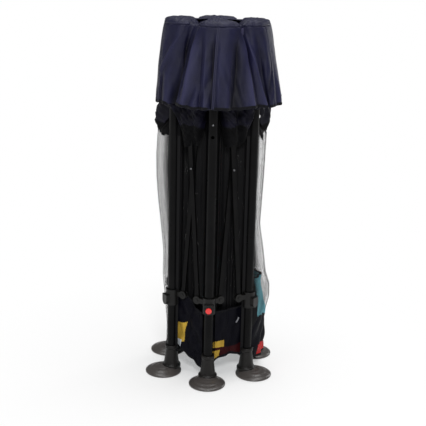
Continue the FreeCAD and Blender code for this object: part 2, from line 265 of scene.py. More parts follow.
def thicken(piece, thickness):
    modifier = piece.modifiers.new("Cloth thickness", "SOLIDIFY")
    modifier.thickness = thickness
    modifier.offset = 0


def joined(pieces):
    """One object from several, all with the same kind of finish."""
    first = pieces[0]
    with bpy.context.temp_override(
        active_object=first, selected_editable_objects=pieces, selected_objects=pieces, object=first
    ):
        bpy.ops.object.join()
    return first


def hang(piece, thickness=None):
    """Cloth that spans from a leg to the next: thickened when given a thickness, with its place baked into
    its mesh.
    """
    if thickness:
        thicken(piece, thickness)
    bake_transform(piece)


def paint(piece, extra, kinds):
    """More materials for a piece, and the number of each face's material: 0 is the one it has already."""
    for material in extra:
        piece.data.materials.append(material)
    piece.data.polygons.foreach_set("material_index", kinds.astype(np.int32).ravel())


# ---- materials ----

class Shader:
    """A material, with short calls that add nodes to it."""

    def __init__(self, name, colour, roughness):
        self.material = bpy.data.materials.new(name)
        self.material.use_nodes = True
        self.tree = self.material.node_tree
        self.surface = self.tree.nodes["Principled BSDF"]
        self.output = self.tree.nodes["Material Output"]
        self.set(**{"Base Color": (*colour, 1), "Roughness": roughness})

    def feed(self, socket, value):
        if isinstance(value, bpy.types.NodeSocket):
            self.tree.links.new(value, socket)
        else:
            socket.default_value = value

    def set(self, **inputs):
        for name, value in inputs.items():
            self.feed(self.surface.inputs[name], value)

    def add(self, kind, *values, **settings):
        node = self.tree.nodes.new("ShaderNode" + kind)
        for name, value in settings.items():
            setattr(node, name, value)
        for socket, value in zip(node.inputs, values):
            if value is not None:
                self.feed(socket, value)
        return node

    def math(self, operation, *values):
        return self.add("Math", *values, operation=operation).outputs[0]

    def uv(self):
        parts = self.add("SeparateXYZ", self.add("TexCoord").outputs["UV"])
        return parts.outputs[0], parts.outputs[1]

    def place(self):
        return self.add("TexCoord").outputs["Object"]

    def noise(self, scale, detail):
        node = self.add("TexNoise")
        self.feed(node.inputs["Vector"], self.place())
        node.inputs["Scale"].default_value = scale
        node.inputs["Detail"].default_value = detail
        return node.outputs[0]

    def between(self, value, low, high, out_low=0.0, out_high=1.0):
        """The value's way from low to high, as a value from out_low to out_high."""
        return self.add("MapRange", value, low, high, out_low, out_high).outputs[0]

    def mix(self, share, first, second):
        node = self.tree.nodes.new("ShaderNodeMix")
        node.data_type = "RGBA"
        self.feed(node.inputs["Factor"], share)
        self.feed(node.inputs[6], self.colour(first))
        self.feed(node.inputs[7], self.colour(second))
        return node.outputs[2]

    def colour(self, value):
        """A socket as it is, or a colour with its alpha."""
        return (*value, 1) if isinstance(value, tuple) else value

    def bump(self, height, strength, distance, round_edges=0.0):
        """Relief in the surface, and edges that catch light as if rounded by round_edges metres."""
        node = self.add("Bump")
        node.inputs["Strength"].default_value = strength
        node.inputs["Distance"].default_value = distance
        self.feed(node.inputs["Height"], height)
        if round_edges:
            edge = self.add("Bevel", samples=6)
            edge.inputs["Radius"].default_value = round_edges
            self.feed(node.inputs["Normal"], edge.outputs[0])
        self.set(Normal=node.outputs[0])

    def apart(self, value, place):
        return self.math("ABSOLUTE", self.math("SUBTRACT", value, place))


DUST = (0.06, 0.06, 0.063)
STITCH_THREAD = (0.06, 0.06, 0.10)
STITCH_LENGTH = 0.0042
STITCH_FILLED = 0.62
STITCH_HALF_WIDTH = 0.0006
STITCH_ROWS = (-0.0028, 0.0028)
SEAM_HALF_WIDTH = 0.0045
CLOTH_PITCH = 0.0011
CLOTH_SHEEN = 0.02
WEBBING_PITCH = 0.0016


def powder_coat(name, colour, rough):
    """Satin black powder coat: fine orange peel, faint dust and rub marks."""
    shader = Shader(name, colour, rough)
    shader.set(**{"Specular IOR Level": 0.09})
    peel = shader.noise(900.0, 3.0)
    rub = shader.noise(35.0, 5.0)
    shader.set(Roughness=shader.between(rub, 0.3, 0.75, rough - 0.08, rough + 0.14))
    dust = shader.between(shader.noise(14.0, 6.0), 0.5, 0.85, 0.0, 0.06)
    shader.set(**{"Base Color": shader.mix(dust, colour, DUST)})
    shader.bump(peel, 0.12, 0.0004, round_edges=0.0008)
    return shader.material


def moulded_plastic(name, colour, rough, specular=0.25):
    """Injection-moulded nylon: spark-eroded grain and slight tone changes."""
    shader = Shader(name, colour, rough)
    grain = shader.noise(1400.0, 2.0)
    tone = shader.between(shader.noise(25.0, 4.0), 0.35, 0.75, 0.0, 0.35)
    lighter = tuple(min(1.0, part * 1.9 + 0.002) for part in colour)
    shader.set(**{"Base Color": shader.mix(tone, colour, lighter)})
    shader.set(**{"Specular IOR Level": specular})
    shader.bump(grain, 0.25, 0.0003, round_edges=0.0012)
    return shader.material


def polished_metal(name, colour, rough):
    """Bare metal with fine scratches that change its roughness."""
    shader = Shader(name, colour, rough)
    scratch = shader.noise(300.0, 6.0)
    shader.set(Metallic=1.0, Roughness=shader.between(scratch, 0.3, 0.7, rough - 0.1, rough + 0.15))
    shader.bump(scratch, 0.1, 0.0002, round_edges=0.0005)
    return shader.material


def button_gloss():
    """Glossy red plastic under a clear coat."""
    shader = Shader("Red button gloss", (0.75, 0.012, 0.01), 0.28)
    shader.set(**{"Coat Weight": 0.6, "Coat Roughness": 0.12})
    shader.bump(shader.noise(700.0, 2.0), 0.05, 0.0002, round_edges=0.0012)
    return shader.material


def weave_height(shader, u, v, pitch):
    """Plain weave: warp and weft threads passing over and under each other."""
    warp = shader.math("SINE", shader.math("MULTIPLY", u, 2 * math.pi / pitch))
    weft = shader.math("SINE", shader.math("MULTIPLY", v, 2 * math.pi / pitch))
    return shader.math("MULTIPLY", warp, weft)


def coated_cloth(name, colour, fold_colour, seams=(), rough=0.50, specular=0.20, painted_fold_light=None):
    """Coated polyester: a fine weave, a soft sheen, crush marks, and double-stitched seams at given heights.

    Given a (valley, ridge) pair of colours, a point's lift from -1 to 1 tints it between them: painted shade
    in deep folds and a painted highlight on high ones.
    """
    shader = Shader(name, colour, rough)
    u, v = shader.uv()
    weave = weave_height(shader, u, v, CLOTH_PITCH)
    crush = shader.noise(38.0, 8.0)
    height = shader.math("ADD", shader.math("MULTIPLY", weave, 0.10), shader.math("MULTIPLY", crush, 1.6))
    tint = shader.mix(shader.between(crush, 0.3, 0.7), fold_colour, colour)
    # Painted fold light: the lift tints deep folds towards the valley colour as painted shade, and high folds
    # towards the ridge colour as painted highlight.
    if painted_fold_light:
        valley, ridge = painted_fold_light
        lift = shader.add("Attribute", attribute_name="lift").outputs["Fac"]
        tint = shader.mix(shader.between(lift, 0.0, 1.0), tint, ridge)
        tint = shader.mix(shader.between(lift, -1.0, 0.0, 1.0, 0.0), tint, valley)
    for place in seams:
        for row in STITCH_ROWS:
            stitch = shader.math("LESS_THAN", shader.apart(v, place + row), STITCH_HALF_WIDTH)
            beat = shader.math("FRACT", shader.math("MULTIPLY", u, 1 / STITCH_LENGTH))
            dash = shader.math("MULTIPLY", stitch, shader.math("LESS_THAN", beat, STITCH_FILLED))
            tint = shader.mix(shader.math("MULTIPLY", dash, 0.55), tint, STITCH_THREAD)
            height = shader.math("ADD", height, shader.math("MULTIPLY", dash, 0.8))
        padding = shader.between(shader.apart(v, place), 0.0, SEAM_HALF_WIDTH, 1.0, 0.0)
        height = shader.math("ADD", height, shader.math("MULTIPLY", padding, 1.2))
    shader.set(**{"Base Color": tint, "Specular IOR Level": specular})
    shader.set(**{"Sheen Weight": CLOTH_SHEEN, "Sheen Roughness": 0.4})
    shader.bump(height, 0.55, 0.0012)
    return shader.material


def netting(name, thread_colour, cell):
    """Open netting of crossed threads. A point's openness is the share of a cell's width that is hole."""
    shader = Shader(name, thread_colour, 0.6)
    u, v = shader.uv()
    openness = shader.add("Attribute", attribute_name="openness").outputs["Fac"]
    gaps = []
    for operation in ("ADD", "SUBTRACT"):
        diagonal = shader.math(operation, u, v)
        phase = shader.math("FRACT", shader.math("MULTIPLY", diagonal, 1 / cell))
        half_gap = shader.math("MULTIPLY", openness, 0.5)
        gaps.append(shader.math("LESS_THAN", shader.apart(phase, 0.5), half_gap))
    clear = shader.add("BsdfTransparent")
    hole = shader.math("MULTIPLY", *gaps)
    blend = shader.add("MixShader", hole, shader.surface.outputs[0], clear.outputs[0])
    shader.feed(shader.output.inputs["Surface"], blend.outputs[0])
    shader.set(**{"Specular IOR Level": 0.15})
    return shader.material


def webbing(name, colour):
    """Ribbed binding tape."""
    shader = Shader(name, colour, 0.75)
    u, v = shader.uv()
    diagonal = shader.math("ADD", u, v)
    rib = shader.math("SINE", shader.math("MULTIPLY", diagonal, 2 * math.pi / WEBBING_PITCH))
    fuzz = shader.noise(600.0, 3.0)
    shader.bump(shader.math("ADD", rib, fuzz), 0.4, 0.0004)
    shader.set(**{"Sheen Weight": 0.02, "Specular IOR Level": 0.12})
    return shader.material


NAVY = (0.0076, 0.0078, 0.0300)
NAVY_FOLD = (0.0046, 0.0047, 0.0195)
# Painted shade for the valance's deep fold valleys, and painted highlight for its high fold ridges.
NAVY_PAINTED_VALLEY_SHADE = (0.0010, 0.0010, 0.0048)
NAVY_PAINTED_RIDGE_HIGHLIGHT = (0.0210, 0.0212, 0.0600)
# The wall band is the canopy's navy cloth drawn darker, in its base and crush colours: painted shade under
# the valance.
SHADED_BAND_NAVY = (0.0036, 0.0030, 0.0120)
SHADED_BAND_FOLD = (0.0010, 0.0010, 0.0032)
NET_SHADE = (0.0020, 0.0020, 0.0026)
NET_FOLD = (0.0010, 0.0010, 0.0013)
BLACK_THREAD = (0.0036, 0.0036, 0.0042)
NET_CELL = 0.0075
CAP_SEAM = 0.045
PETAL_SEAM = 0.004

TUBE_PAINT = powder_coat("Tube powder coat", (0.0022, 0.0022, 0.0024), 0.33)
BAR_PAINT = powder_coat("Bar powder coat", (0.0024, 0.0024, 0.0026), 0.34)
JOINT_PLASTIC = moulded_plastic("Black nylon", (0.0040, 0.0038, 0.0036), 0.40)
FOOT_PLASTIC = moulded_plastic("Grey foot plastic", (0.056, 0.050, 0.047), 0.30, specular=0.55)
NECK_PLASTIC = moulded_plastic("Dark foot neck plastic", (0.0075, 0.0068, 0.0064), 0.42)
BUTTON = button_gloss()
STEEL = polished_metal("Bright steel", (0.62, 0.62, 0.64), 0.3)
ZIP_METAL = polished_metal("Zip metal", (0.16, 0.16, 0.17), 0.4)
DARK_ZIP = polished_metal("Dark zip metal", (0.028, 0.028, 0.030), 0.4)
CAP_CLOTH = coated_cloth("Canopy cap cloth", NAVY, NAVY_FOLD, seams=(CAP_SEAM,))
CANOPY_CLOTH = coated_cloth("Canopy cloth", NAVY, NAVY_FOLD, painted_fold_light=(NAVY_PAINTED_VALLEY_SHADE, NAVY_PAINTED_RIDGE_HIGHLIGHT))
SEAM_CLOTH = coated_cloth("Seam cloth", NAVY, NAVY_FOLD, seams=(PETAL_SEAM,))
SHADED_BAND_CLOTH = coated_cloth("Wall band cloth", SHADED_BAND_NAVY, SHADED_BAND_FOLD, specular=0.12)
GATHERED_NET = coated_cloth("Gathered netting", NET_SHADE, NET_FOLD, rough=0.7, specular=0.08)
NET = netting("Black netting", BLACK_THREAD, NET_CELL)
NAVY_TAPE = webbing("Navy tape", (0.030, 0.028, 0.060))
BINDING = webbing("Black binding", (0.0045, 0.0045, 0.0065))
STRAP = webbing("Grey strap", (0.20, 0.20, 0.22))

PANEL_COLOURS = {
    "yellow": (0.56, 0.36, 0.05),
    "white": (0.72, 0.76, 0.80),
    "sky": (0.25, 0.68, 0.80),
    "red": (0.52, 0.012, 0.012),
    "maroon": (0.036, 0.004, 0.005),
    # The navy is a dark navy cloth, drawn darker still: painted shade on the rims and floor under the canopy.
    "navy": (0.0018, 0.0018, 0.0052),
}
PANEL_CLOTH = {
    name: coated_cloth(f"Floor cloth {name}", colour, tuple(part * 0.7 for part in colour), specular=0.09)
    for name, colour in PANEL_COLOURS.items()
}


def finish_cad_nodes():
    """Gives the CAD nodes that stay visible their finishes, by how their names start."""
    finishes = {
        "leg_tube": TUBE_PAINT,
        "outer_bar": BAR_PAINT,
        "inner_bar": BAR_PAINT,
        "top_bracket": JOINT_PLASTIC,
        "slider": JOINT_PLASTIC,
        "foot": FOOT_PLASTIC,
        "lock_button": BUTTON,
        "door_zip_pull": DARK_ZIP,
    }
    for name, node in frame["nodes"].items():
        for start, material in finishes.items():
            if name.startswith(start):
                node.data.materials.clear()
                node.data.materials.append(material)


# ---- feet ----

FOOT_BOX = [Vector(corner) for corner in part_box("foot_1")]
FOOT_RADIUS = (FOOT_BOX[1].x - FOOT_BOX[0].x) / 2
FOOT_OFFSET = AXIS[1].y - (FOOT_BOX[0].y + FOOT_RADIUS)
NECK_TOP = FOOT_BOX[1].z
SOCKET_RADIUS = TUBE_RADIUS + 0.0001
DISC_CENTRE_RADIUS = 0.0005
DISC_CROWN = 0.017
DISC_SHOULDER = 0.0058
DISC_STEPS = 22
NECK_STEPS = 8


def disc_outline():
    """Radius and height of the disc: a rounded rim, then a low dome with faint rings."""
    outline = [
        (DISC_CENTRE_RADIUS, 0.0),
        (FOOT_RADIUS - 0.002, 0.0),
        (FOOT_RADIUS, 0.0015),
        (FOOT_RADIUS, 0.004),
        (FOOT_RADIUS - 0.0012, 0.0052),
    ]
    for step in range(1, DISC_STEPS):
        share = 1 - step / DISC_STEPS
        ring = 0.0004 * math.sin(share * DISC_STEPS)
        height = DISC_SHOULDER + (DISC_CROWN - DISC_SHOULDER) * (1 - share**2.2) + ring
        outline.append(((FOOT_RADIUS - 0.003) * share, height))
    outline.append((DISC_CENTRE_RADIUS, DISC_CROWN))
    return outline


def neck_outline():
    """Radius and height of the neck: a raised lip on the disc, a taper, and a collar round the tube."""
    outline = [(0.0265, 0.010), (0.0265, 0.0175), (0.0258, 0.0192), (0.0245, 0.0198), (0.0232, 0.0205)]
    for step in range(NECK_STEPS + 1):
        share = step / NECK_STEPS
        outline.append((0.0222 - 0.0054 * share**0.75, 0.022 + (NECK_TOP - 0.034) * share))
    outline += [
        (0.0168, NECK_TOP - 0.0105),
        (0.0182, NECK_TOP - 0.0095),
        (0.0186, NECK_TOP - 0.0080),
        (0.0186, NECK_TOP - 0.0020),
        (0.0180, NECK_TOP - 0.0006),
        (0.0168, NECK_TOP),
        (SOCKET_RADIUS, NECK_TOP),
        (SOCKET_RADIUS, NECK_TOP - 0.004),
    ]
    return outline


def make_foot(leg):
    """A disc that stands a little outwards of its leg, and the neck that holds the tube."""
    disc_centre = AXIS[leg] + OUT[leg] * FOOT_OFFSET
    disc = lathe(f"foot_disc_{leg}", disc_outline(), FOOT_PLASTIC, disc_centre, segments=96)
    neck = lathe(f"foot_neck_{leg}", neck_outline(), NECK_PLASTIC, AXIS[leg], segments=72)
    foot = joined([disc, neck])
    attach(foot, f"leg_{leg}")
    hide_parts(f"foot_{leg}")


# ---- rivets and spring ----

RIVET_HEIGHT = 0.0012
CROSSING_RIVET_RADIUS = 0.0030
FRONT_RIVET_RADIUS = 0.0026
FRONT_RIVET_SUNK = 0.0003
FRONT_RIVET_PLACE = 0.732
OPEN_SIDE_LEG = 4
SPRING_BODY = "slider_1"
SPRING_WIRE = 0.0004
SPRING_TURNS = 6
SPRING_STEPS = 24


def dome_angles(columns, rows):
    """Bearings round a dome, and angles from its top down to its edge."""
    a, b = grid(columns, rows)
    return a[:, :-1] * 2 * math.pi, b[:, :-1] * math.pi / 2


def dome(name, centre, direction, radius):
    """A domed rivet head standing on a surface."""
    bearing, arc = dome_angles(28, 8)
    side = direction.cross(UP).normalized()
    up = side.cross(direction)
    out = RIVET_HEIGHT * np.cos(arc)
    across = radius * np.sin(arc) * np.cos(bearing)
    rise = radius * np.sin(arc) * np.sin(bearing)
    points = np.array(centre) + sum(
        amount[..., None] * np.array(way) for amount, way in ((out, direction), (across, side), (rise, up))
    )
    uv = np.stack([bearing * radius, arc * radius], axis=-1)
    return sheet(name, points, uv, ZIP_METAL, closed=True)


def face_of(node, centre, direction, reach=0.012):
    """How far a node's surface stands out along a direction, near a point."""
    away = [vertex.co - centre for vertex in frame["nodes"][node].data.vertices]
    near = [item.dot(direction) for item in away if (item - item.dot(direction) * direction).length < reach]
    return max(near)


def crossing(leg):
    """Where a side's two bars cross. One side has no joint there and mirrors the opposite side's."""
    if leg != OPEN_SIDE_LEG:
        return Vector(joint(f"crossing_{leg}")["pos_m"])
    opposite = Vector(joint("crossing_1")["pos_m"])
    return Vector((-opposite.x, -opposite.y, opposite.z))


def make_rivets():
    """Bright heads where each pair of bars cross, and one in the front tube."""
    for leg in LEGS:
        direction = NORMAL[leg]
        centre = crossing(leg)
        surface = centre + direction * face_of(f"outer_bar_{leg}", centre, direction)
        head = dome(f"crossing_rivet_{leg}", surface, direction, CROSSING_RIVET_RADIUS)
        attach(head, f"outer_bar_{leg}")
    place = AXIS[1] + OUT[1] * (TUBE_RADIUS - FRONT_RIVET_SUNK) + UP * FRONT_RIVET_PLACE
    head = dome("front_tube_rivet", place, OUT[1], FRONT_RIVET_RADIUS)
    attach(head, "leg_1")


def make_spring():
    """The coil behind the push button, drawn in the lock spring's box and carried by the slider."""
    low, high = (Vector(corner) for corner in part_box("lock_spring"))
    radius = (high.x - low.x) / 2 - SPRING_WIRE
    length = high.y - low.y
    centre = (low + high) / 2
    points = []
    steps = SPRING_TURNS * SPRING_STEPS
    for step in range(steps + 1):
        share = step / steps
        angle = share * SPRING_TURNS * 2 * math.pi
        y = low.y + SPRING_WIRE + (length - 2 * SPRING_WIRE) * share
        points.append((centre.x + radius * math.cos(angle), y, centre.z + radius * math.sin(angle)))
    coil = cord("lock_spring_coil", points, SPRING_WIRE, STEEL)
    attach(coil, SPRING_BODY)
    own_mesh(coil)
    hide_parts("lock_spring")


# ---- canopy ----

LOBE_WIDE = 0.052
LOBE_SHIFT = 0.012
LOBE_DEEP = {1: 0.036, 2: 0.036, 3: 0.040, 4: 0.038, 5: 0.046, 6: 0.036}
LOBE_LEAN = {1: 0.009, 2: 0.000, 3: 0.000, 4: 0.004, 5: 0.000, 6: 0.000}
PETAL_WIDE = 0.057
PETAL_REACH = {1: 0.062, 2: 0.063, 3: 0.064, 4: 0.060, 5: 0.049, 6: 0.048}
CAP_TOP = {1: TOP + 0.001, 2: TOP + 0.002, 3: TOP - 0.007, 4: TOP - 0.008, 5: TOP - 0.007, 6: TOP + 0.002}
CAP_EDGE = TOP - 0.0145
CAP_BACK_EDGE = TOP - 0.040
CAP_ROUNDNESS = 0.72
CAP_UV_HEIGHT = 0.05
CAP_THICKNESS = 0.0012
# A petal's flare grows with the share of the way down to this power.
PETAL_FLARE = 0.70
VALANCE_TOP = CAP_EDGE - 0.0005
VALANCE_THICKNESS = 0.0009
RETURN_REACH = -0.014
PETAL_SEAM_WIDTH = 0.0065
HEM_VALLEY = 0.022
# Height of a fold whose ridge gets the full painted highlight, or whose valley gets the full painted shade.
PAINTED_LIGHT_FULL_FOLD = 0.011


def make_cap(leg):
    """The cloth pocket over a leg's top: a low dome, wide across the leg, longer on its inner side."""
    bearing, arc = dome_angles(110, 30)
    down = arc / (math.pi / 2)
    swell = np.sin(arc) ** CAP_ROUNDNESS
    out = (LOBE_DEEP[leg] * np.cos(bearing)) * swell - LOBE_SHIFT
    across = LOBE_WIDE * np.sin(bearing) * swell + LOBE_LEAN[leg]
    inner = smooth(-np.cos(bearing) * 1.4)
    edge = CAP_EDGE + (CAP_BACK_EDGE - CAP_EDGE) * inner
    height = edge + (CAP_TOP[leg] - edge) * np.cos(arc)
    u = bearing * LOBE_WIDE
    rumple = ripples(u, arc * 0.03, SEED["cap rumple"] + leg, 0.030, drift=1.0)
    height = height + rumple * 0.0011 * np.sin(2 * arc)
    pucker = 1 + 0.012 * ripples(u, arc * 0.02, SEED["cap pucker"] + leg, 0.022) * down
    out, across = out * pucker, across * pucker
    uv = np.stack([u, CAP_UV_HEIGHT * down], axis=-1)
    cap = sheet(f"canopy_cap_{leg}", leg_points(leg, out, across, height), uv, CAP_CLOTH, closed=True)
    thicken(cap, CAP_THICKNESS)
    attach(cap, f"leg_{leg}")
    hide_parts(f"canopy_corner_{leg}")


def lobe(wide, deep, *bearings, shift=0.0, lean=0.0):
    """(s, n) points round a leg, at bearings in degrees from straight outwards towards the next leg."""
    places = []
    for bearing in bearings:
        out = deep * math.cos(math.radians(bearing)) - shift
        across = wide * math.sin(math.radians(bearing)) + lean
        along = across * math.cos(HALF_CORNER) - out / 2
        places.append((along, out * math.cos(HALF_CORNER) + across / 2))
    return places


def petal(leg, *bearings):
    """(s, n) points round the hem of a leg's petal."""
    return lobe(PETAL_WIDE, PETAL_REACH[leg], *bearings)


def mirrored(points):
    """A side's (s, n) points seen from its other leg."""
    return [(SPACING - s, n) for s, n in reversed(points)]


def top_section(leg):
    """Where a side's valance meets the caps: round one lobe, into the valley, round the next lobe."""
    other = next_leg(leg)
    bearings = (0, 25, 50, 72, 92)
    first = lobe(LOBE_WIDE, LOBE_DEEP[leg], *bearings, shift=LOBE_SHIFT, lean=LOBE_LEAN[leg])
    last = lobe(LOBE_WIDE, LOBE_DEEP[other], *bearings, shift=LOBE_SHIFT, lean=-LOBE_LEAN[other])
    return first + [(SPACING / 2, 0.001)] + mirrored(last)


def hem_section(leg):
    """The valance's bottom edge, seen from above: petals over the legs with folds between them."""
    first = last = (0, 25, 52, 78)
    between = [(SPACING / 2, HEM_VALLEY)]
    if leg == 1:
        first, last = (0,), (0, 22)
        between = [(-0.004, 0.0665), (0.022, 0.0640), (0.048, 0.0735), (0.074, 0.0700), (0.096, 0.0665)]
        between += [(0.116, 0.0600), (0.119, 0.0480)]
    elif leg == 6:
        first, last = (0, 20, 42), (0,)
        between = [(0.036, 0.0450), (0.048, 0.0580), (0.076, 0.0700), (0.104, 0.0665), (0.128, 0.0555)]
    return petal(leg, *first) + between + mirrored(petal(next_leg(leg), *last))


# Sharp folds per side: share along it at the top and at the hem, width, and height (negative is inwards).
CREASES = {
    1: [
        (0.04, 0.04, 0.030, 0.007),
        (0.30, 0.22, 0.055, -0.017),
        (0.42, 0.44, 0.060, 0.015),
        (0.50, 0.56, 0.025, -0.010),
        (0.57, 0.66, 0.030, 0.010),
        (0.80, 0.84, 0.040, -0.007),
    ],
    2: [(0.20, 0.10, 0.04, 0.004), (0.35, 0.42, 0.05, -0.006), (0.70, 0.86, 0.04, 0.004)],
    3: [(0.15, 0.25, 0.05, 0.004), (0.40, 0.36, 0.05, -0.006), (0.80, 0.70, 0.04, 0.005)],
    4: [(0.20, 0.12, 0.05, 0.005), (0.60, 0.66, 0.05, -0.006), (0.85, 0.76, 0.04, 0.004)],
    5: [(0.25, 0.34, 0.05, 0.005), (1.20, 0.78, 0.035, 0.001), (0.70, 0.62, 0.05, -0.006)],
    6: [
        (0.34, -0.20, 0.035, 0.010),
        (0.50, 0.36, 0.055, -0.019),
        (0.68, 0.62, 0.060, 0.013),
        (0.80, 0.82, 0.030, -0.006),
        (0.86, 0.88, 0.030, 0.006),
        (0.955, 0.955, 0.028, -0.013),
    ],
}


def creases(leg, a, b):
    """Outward offset of the sharp folds at each place of a side's valance."""
    total = np.zeros(a.shape)
    for top, hem, width, height in CREASES[leg]:
        away = np.abs(a - (top + (hem - top) * b)) / width
        total += height * np.exp(-(away**1.3)) * smooth(b / 0.35) * (0.5 + 0.5 * b)
    return total


def valance_points(leg):
    """A valance's s, n, z, way down from its top, and lift, from -1 in a deep fold to 1 on a high one, which
    sets the painted shade and painted highlight of its cloth.
    """
    a, b = grid(170, 70)
    share = (b**PETAL_FLARE)[..., None]
    section = through(top_section(leg), a) * (1 - share) + through(hem_section(leg), a) * share
    s, n = np.moveaxis(section, -1, 0)
    run_s, run_n = np.gradient(s, axis=1), np.gradient(n, axis=1)
    length = np.hypot(run_s, run_n) + 1e-9
    arc = np.cumsum(length, axis=1)
    calm = smooth(np.minimum(a, 1 - a) / 0.025)
    fold = ripples(arc, b * 0.2, SEED["valance fold"] + leg, 0.055, drift=0.25, count=4) * 0.0050 * b
    fold += ripples(arc, b * 0.2, SEED["valance ripple"] + leg, 0.024, drift=0.45) * 0.0010 * (0.25 + b)
    fold = (fold + creases(leg, a, b)) * calm
    s = s - run_n / length * fold
    n = n + run_s / length * fold
    drop = VALANCE_TOP - HEM
    sag = ripples(arc, arc * 0, SEED["valance sag"] + leg, 0.13, count=3) * 0.0022 * calm
    z = VALANCE_TOP - drop * b + sag * b
    return s, n, z, b * drop, np.clip(fold / PAINTED_LIGHT_FULL_FOLD, -1, 1)


def make_valance(leg):
    """The canopy's hanging skirt along one side, from mid-petal to mid-petal, with a bound hem."""
    s, n, z, down, lift = valance_points(leg)
    points = side_points(leg, s, n, z)
    uv = np.stack([spread(s) + n, down], axis=-1)
    # The lift layer sets the canopy cloth's painted shade in deep folds and painted highlight on high ones.
    valance = sheet(f"valance_{leg}", points, uv, CANOPY_CLOTH, lift=lift)
    hang(valance, VALANCE_THICKNESS)
    make_binding(f"valance_binding_{leg}", leg, s[-1], n[-1], z[-1], 0.008, 0.0012)


def make_valance_return(leg):
    """The turned-in top of a side's valance, which closes the gap under the roof's edge of the open frame."""
    s, n, z, _, _ = valance_points(leg)
    share = np.linspace(0, 1, 7)[:, None]
    inward = n[0] + (RETURN_REACH - n[0]) * share
    along = np.broadcast_to(s[0], inward.shape)
    height = np.broadcast_to(z[0] + 0.0015 * np.sin(share * math.pi), inward.shape)
    uv = np.stack([spread(along), inward], axis=-1)
    flap = sheet(f"valance_return_{leg}", side_points(leg, along, inward, height), uv, CANOPY_CLOTH)
    hang(flap, VALANCE_THICKNESS)


def make_petal_seam(leg):
    """The flat-felled seam that runs down the middle of a leg's petal."""
    across, b = grid(8, 60)
    reach = LOBE_DEEP[leg] - LOBE_SHIFT
    share = b**PETAL_FLARE
    out = reach + (PETAL_REACH[leg] - reach) * share + 0.0007 + 0.0004 * np.sin(across * math.pi)
    side = (across - 0.5) * PETAL_SEAM_WIDTH + LOBE_LEAN[leg] * (1 - share)
    z = CAP_EDGE - 0.001 + (HEM + 0.004 - CAP_EDGE) * b
    uv = np.stack([b * 0.2, across * 2 * PETAL_SEAM], axis=-1)
    strip = sheet(f"petal_seam_{leg}", leg_points(leg, out, side, z), uv, SEAM_CLOTH)
    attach(strip, f"leg_{leg}")


def make_binding(name, leg, s, n, z, width, puff):
    """Tape folded round a cloth edge: a flat loop, width tall and twice puff thick, that follows the edge."""
    around = np.linspace(0, 2 * math.pi, 9)[:, None]
    up = z[None, :] + width / 2 * (1 + np.cos(around)) - 0.0005
    out = n[None, :] + puff * np.sin(around)
    along = np.broadcast_to(s[None, :], up.shape)
    points = side_points(leg, along, out, up)
    uv = np.stack([spread(along), np.broadcast_to(around * width / math.pi, up.shape)], axis=-1)
    hang(sheet(name, points, uv, BINDING))


# ---- walls ----

# Heights up the two outer sides' walls, and how far beyond the leg line the wall's middle is at each.
WALL_BULGE = {
    2: (
        (0.060, 0.130, 0.165, 0.212, 0.250, 0.284, 0.356, 0.427, 0.567, 0.690, 0.735, 0.950),
        (0.028, 0.034, 0.048, 0.059, 0.058, 0.046, 0.036, 0.024, 0.030, 0.033, 0.008, -0.010),
    ),
    5: (
        (0.060, 0.125, 0.200, 0.273, 0.346, 0.417, 0.487, 0.557, 0.625, 0.700, 0.735, 0.950),
        (0.020, 0.019, 0.025, 0.032, 0.031, 0.038, 0.046, 0.052, 0.053, 0.048, 0.010, -0.010),
    ),
}
TUCK = -0.032
WALL_INSET = -0.010
WALL_EDGE_REACH = -0.018
WALL_TOP_CLOTH = 0.690
# Openness of the netting at its edges and on the tucked sides, and what its clear middle adds.
NET_OPENNESS = 0.16
NET_CLEARNESS = 0.70
BAND_TOP = 0.805
BAND_LEG_EDGE = 0.762
BAND_EDGE = {1: 0.664, 2: 0.704, 3: 0.680, 4: 0.676, 5: 0.694, 6: 0.668}
BAND_REACH = {1: 0.014, 2: 0.039, 3: 0.012, 4: 0.012, 5: 0.052, 6: 0.016}
BAND_SNUG = 0.020
BAND_CHANGE = 0.722
BAND_THICKNESS = 0.0009


def wall_bulge(leg, z):
    """How far the middle of a side's wall stands outwards of the leg line at each height."""
    if leg not in WALL_BULGE:
        return np.full(z.shape, TUCK)
    return np.interp(z, *WALL_BULGE[leg])


def wall_points(leg):
    """A wall's s, n and z, and the share of the way across it.

    Its columns lie halfway between even steps when folded and even steps when open.
    """
    a, b = grid(120, 170)
    low, high = WALL_INSET, SPACING - WALL_INSET
    open_low, open_high = spread(low), spread(high)
    s = 0.5 * gather(open_low + a * (open_high - open_low)) + 0.5 * (low + a * (high - low))
    z = WALL_LOW + (WALL_HIGH - WALL_LOW) * b
    across = (s - low) / (high - low)
    arch = np.sin(math.pi * np.clip(across, 0, 1))
    n = WALL_EDGE_REACH + (wall_bulge(leg, z) - WALL_EDGE_REACH) * arch**0.45
    pleat = ripples(s, z * 0.05, SEED["wall pleat"] + leg, 0.020, drift=0.12)
    wave = ripples(s, z * 0.5, SEED["wall wave"] + leg, 0.08, drift=0.12)
    calm = 0.4 if leg in WALL_BULGE else 1.0
    n = n + (pleat * 0.0042 + wave * 0.0040) * calm * arch**0.5
    return s, n, z, across


def make_wall(leg):
    """A side's wall: netting, gathered tight under the canopy, with a bound lower edge."""
    s, n, z, across = wall_points(leg)
    points = side_points(leg, s, n, z)
    uv = np.stack([spread(s), z], axis=-1)
    openness = np.full(z.shape, NET_OPENNESS)
    if leg in WALL_BULGE:
        clear = smooth(np.minimum(across, 1 - across) / 0.16)
        doubled = smooth(0.5 + ripples(s, z * 0.16, SEED["wall doubling"] + leg, 0.035, drift=0.5))
        openness += NET_CLEARNESS * clear * (0.80 + 0.20 * doubled)
    wall = sheet(f"wall_netting_{leg}", points, uv, NET, openness=openness)
    edge = WALL_TOP_CLOTH + 0.012 * ripples(s, z * 0, SEED["wall top edge"] + leg, 0.05)
    paint(wall, [GATHERED_NET], cell_centres(z) > cell_centres(edge))
    hang(wall)
    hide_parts(f"wall_panel_{leg}")
    make_binding(f"wall_binding_{leg}", leg, s[0], n[0], z[0], 0.010, 0.0014)


